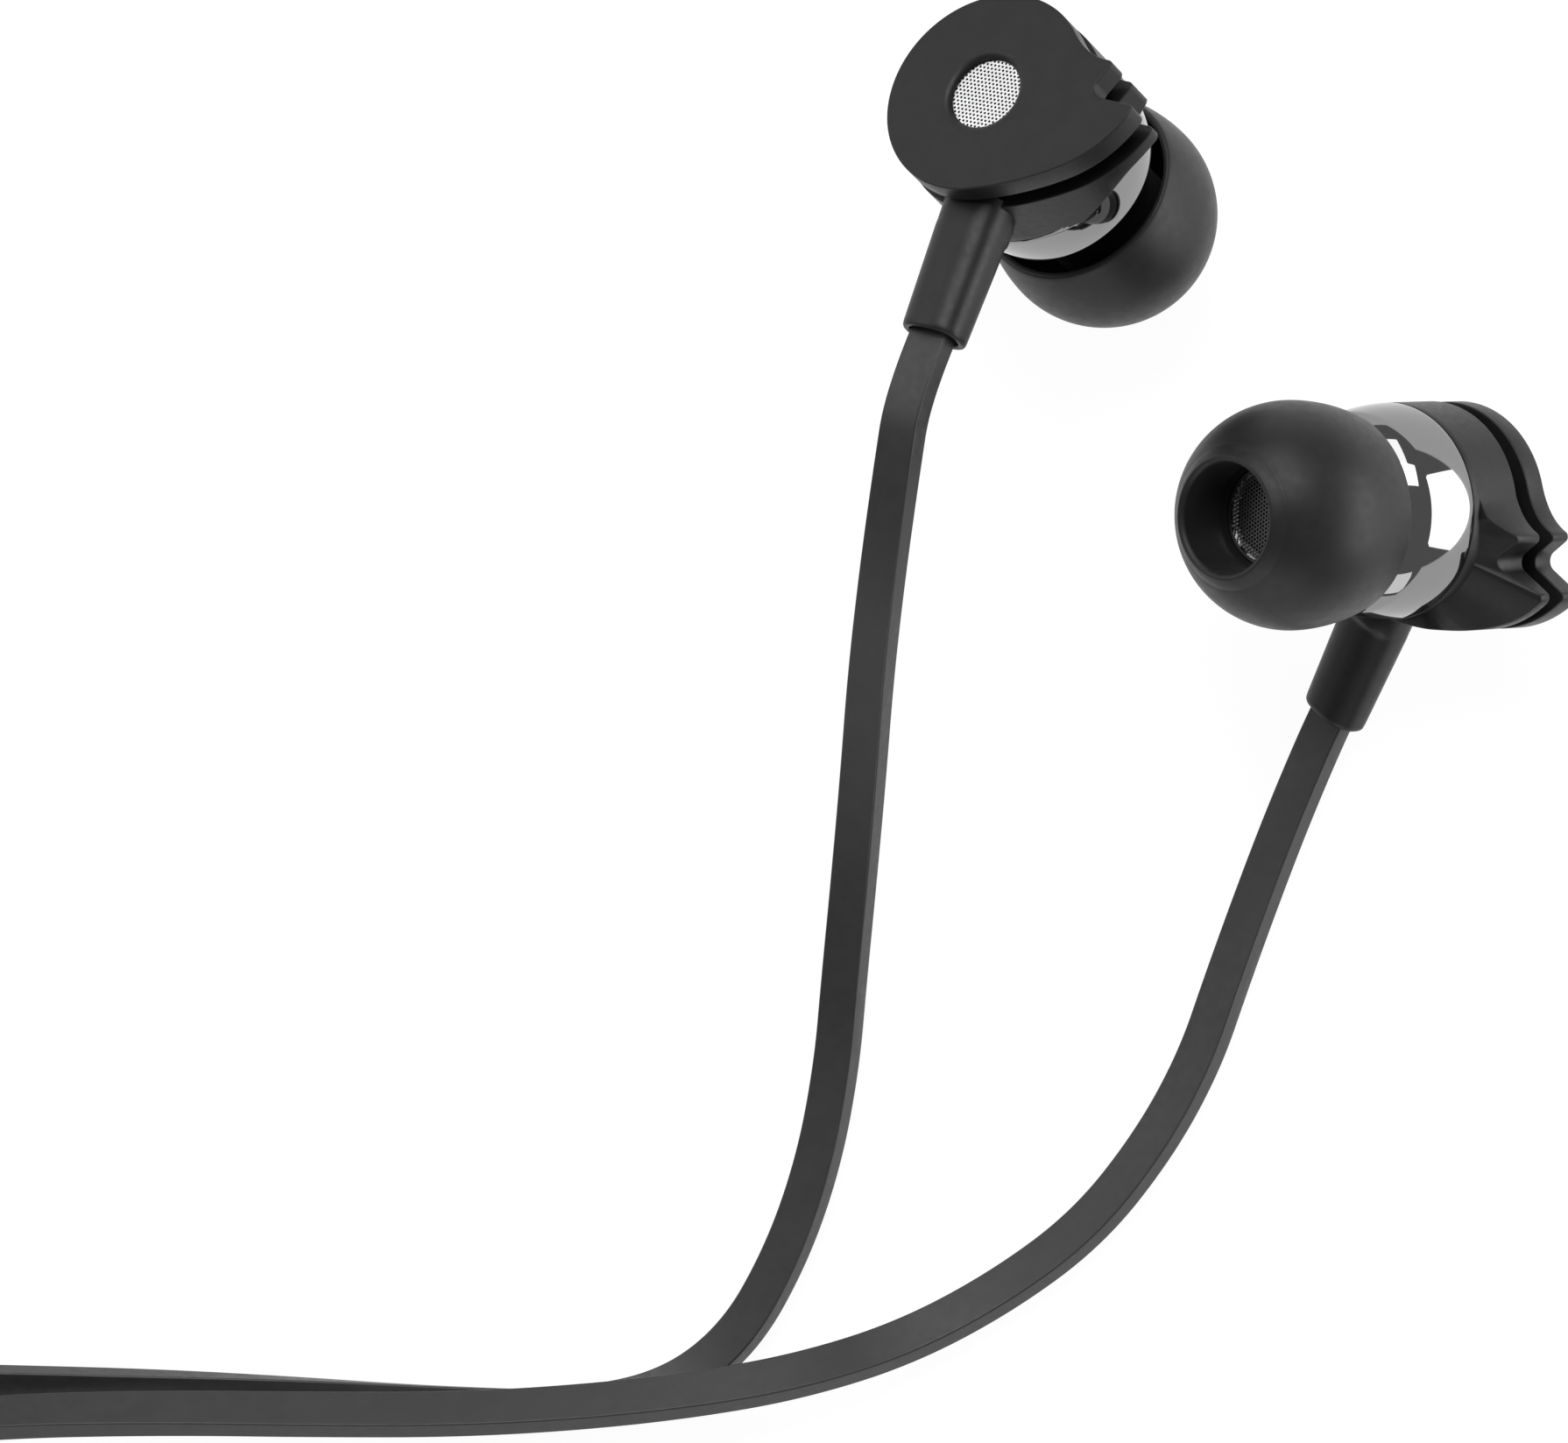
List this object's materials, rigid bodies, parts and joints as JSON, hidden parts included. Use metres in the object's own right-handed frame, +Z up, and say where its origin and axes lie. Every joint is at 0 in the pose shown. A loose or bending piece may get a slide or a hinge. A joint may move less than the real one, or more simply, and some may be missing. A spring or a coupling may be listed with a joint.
{
  "type": "wired earphones",
  "caption": "In-ear earphones with leaf-shaped back covers, bright bell housings, soft dome ear tips and flat cords that join in a splitter and end in a jack plug.",
  "frame": {"origin": "under the middle of the two earbuds' bounding box, on the table they lie on", "axes": "+Z up from the table; +X from the put-away cord towards the earbuds; +Y away from where the cords run out"},
  "size_m": [0.153, 0.097, 0.0232],
  "materials": {
    "black_plastic": "satin",
    "bright_grille": "satin",
    "felt": "matte",
    "copper": "satin",
    "mirror_chrome": "polished",
    "dark_mesh": "satin",
    "silicone": "matte",
    "board": "satin",
    "driver_steel": "satin",
    "magnet": "satin",
    "driver_frame": "satin",
    "film": "gloss",
    "gasket": "matte",
    "cord_jacket": "satin",
    "tie_strap": "matte",
    "contact_plate": "polished",
    "collar_plate": "polished",
    "insulator": "gloss"
  },
  "bodies": {
    "earphones": {"left_back_cover": "black_plastic", "left_back_grille": "bright_grille", "left_back_damper": "felt", "left_rear_housing": "black_plastic", "left_strain_relief": "black_plastic", "left_lead_wires": "copper", "left_front_housing": "mirror_chrome", "left_nozzle_damper": "felt", "left_nozzle_mesh": "dark_mesh", "left_terminal_board": "board", "left_driver_yoke": "driver_steel", "left_driver_magnet": "magnet", "left_pole_plate": "driver_steel", "left_driver_frame": "driver_frame", "left_driver_gasket": "gasket", "right_back_cover": "black_plastic", "right_back_grille": "bright_grille", "right_back_damper": "felt", "right_rear_housing": "black_plastic", "right_strain_relief": "black_plastic", "right_lead_wires": "copper", "right_front_housing": "mirror_chrome", "right_nozzle_damper": "felt", "right_nozzle_mesh": "dark_mesh", "right_terminal_board": "board", "right_driver_yoke": "driver_steel", "right_driver_magnet": "magnet", "right_pole_plate": "driver_steel", "right_driver_frame": "driver_frame", "right_driver_gasket": "gasket", "left_cord": "cord_jacket", "left_cord_turns": "cord_jacket", "right_cord": "cord_jacket", "right_cord_turns": "cord_jacket", "y_splitter": "black_plastic", "main_cord_coil": "cord_jacket", "main_cord_tail": "cord_jacket", "cord_ties": "tie_strap", "plug_strain_relief": "cord_jacket", "plug_grip": "black_plastic", "plug_collar": "collar_plate", "plug_sleeve": "contact_plate", "plug_ring": "contact_plate", "plug_insulators": "insulator", "plug_tip": "contact_plate"},
    "left_ear_tip": {"left_ear_tip": "silicone"},
    "left_diaphragm": {"left_voice_coil": "copper", "left_diaphragm": "film"},
    "right_ear_tip": {"right_ear_tip": "silicone"},
    "right_diaphragm": {"right_voice_coil": "copper", "right_diaphragm": "film"}
  },
  "joints": [
    {"name": "left_ear_tip_pull", "type": "slide", "parent": "earphones", "child": "left_ear_tip", "axis": [0.4707, -0.4087, -0.782], "range_m": [0, 0.007]},
    {"name": "left_diaphragm_travel", "type": "slide", "parent": "earphones", "child": "left_diaphragm", "axis": [0.4707, -0.4087, -0.782], "range_m": [-0.0002, 0.0002], "stiffness_N_per_m": 9},
    {"name": "right_ear_tip_pull", "type": "slide", "parent": "earphones", "child": "right_ear_tip", "axis": [-0.6913, -0.0448, 0.7212], "range_m": [0, 0.007]},
    {"name": "right_diaphragm_travel", "type": "slide", "parent": "earphones", "child": "right_diaphragm", "axis": [-0.6913, -0.0448, 0.7212], "range_m": [-0.0002, 0.0002], "stiffness_N_per_m": 9}
  ]
}
